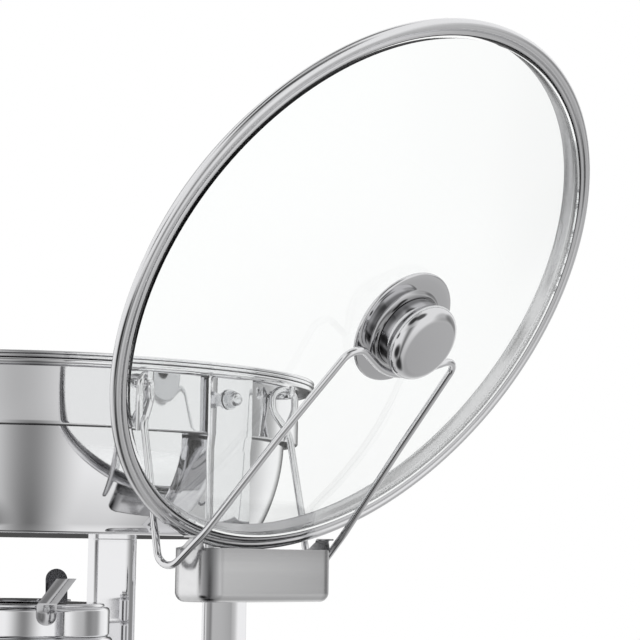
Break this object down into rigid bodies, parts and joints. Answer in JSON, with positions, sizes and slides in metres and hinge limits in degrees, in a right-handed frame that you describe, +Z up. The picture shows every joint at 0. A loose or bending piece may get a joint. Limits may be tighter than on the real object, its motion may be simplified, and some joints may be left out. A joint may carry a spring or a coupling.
{
  "type": "chafing dish",
  "caption": "Round chafing dish: stacked food and water pans in a ring stand on strip legs, fuel burner below, glass lid parked in a wire holder over a drip tray.",
  "frame": {"origin": "on the table, on the stand's vertical axis", "axes": "+Z up from the table; +X from the stand's axis towards the lid holder; Y across the holder"},
  "size_m": [0.5323, 0.344, 0.3729],
  "materials": {
    "polished_steel": "mirror polished",
    "brushed_steel": "brushed satin",
    "chromed_wire": "bright chromed",
    "tempered_glass": "clear",
    "zinc_fastener": "bright zinc",
    "dark_silicone": "matt"
  },
  "bodies": {
    "stand": {"frame_band": "polished_steel", "front_leg": "polished_steel", "left_leg": "polished_steel", "right_leg": "polished_steel", "leg_bolts": "zinc_fastener", "leg_washers": "zinc_fastener", "leg_nuts": "zinc_fastener", "foot_glides": "dark_silicone", "holder_hooks": "chromed_wire", "fuel_shelf": "brushed_steel", "front_arm": "brushed_steel", "left_arm": "brushed_steel", "right_arm": "brushed_steel", "shelf_rivets": "zinc_fastener", "arm_screws": "zinc_fastener"},
    "water_pan": {"water_pan": "polished_steel"},
    "food_pan": {"food_pan": "polished_steel"},
    "holder": {"holder_wire": "chromed_wire"},
    "tray": {"drip_tray": "brushed_steel"},
    "lid": {"lid_rim": "polished_steel", "lid_glass": "tempered_glass", "knob_flange": "polished_steel", "knob_body": "polished_steel", "knob_washer": "dark_silicone", "knob_screw": "zinc_fastener"},
    "burner": {"fuel_cup": "polished_steel"},
    "cover": {"burner_cover": "polished_steel", "cover_clip": "brushed_steel", "damper_rivet": "zinc_fastener"},
    "damper": {"damper_disc": "brushed_steel"}
  },
  "joints": [
    {"name": "water_pan_lift", "type": "slide", "parent": "stand", "child": "water_pan", "axis": [0, 0, 1], "range_m": [0, 0.09]},
    {"name": "food_pan_lift", "type": "slide", "parent": "water_pan", "child": "food_pan", "axis": [0, 0, 1], "range_m": [0, 0.07]},
    {"name": "holder_swing", "type": "hinge", "parent": "stand", "child": "holder", "pos_m": [0.161, 0, 0.2015], "axis": [0, -1, 0], "range_deg": [0, 12]},
    {"name": "tray_lift", "type": "slide", "parent": "holder", "child": "tray", "axis": [0.5592, 0, 0.829], "range_m": [0, 0.03]},
    {"name": "lid_lift", "type": "slide", "parent": "tray", "child": "lid", "axis": [0.5592, 0, 0.829], "range_m": [0, 0.1]},
    {"name": "burner_lift", "type": "slide", "parent": "stand", "child": "burner", "axis": [0, 0, 1], "range_m": [0, 0.01]},
    {"name": "cover_lift", "type": "slide", "parent": "burner", "child": "cover", "axis": [0, 0, 1], "range_m": [0, 0.008]},
    {"name": "damper_swing", "type": "hinge", "parent": "cover", "child": "damper", "pos_m": [0.03549, -0.01617, 0.0815], "axis": [0, 0, 1], "range_deg": [0, 100]}
  ]
}
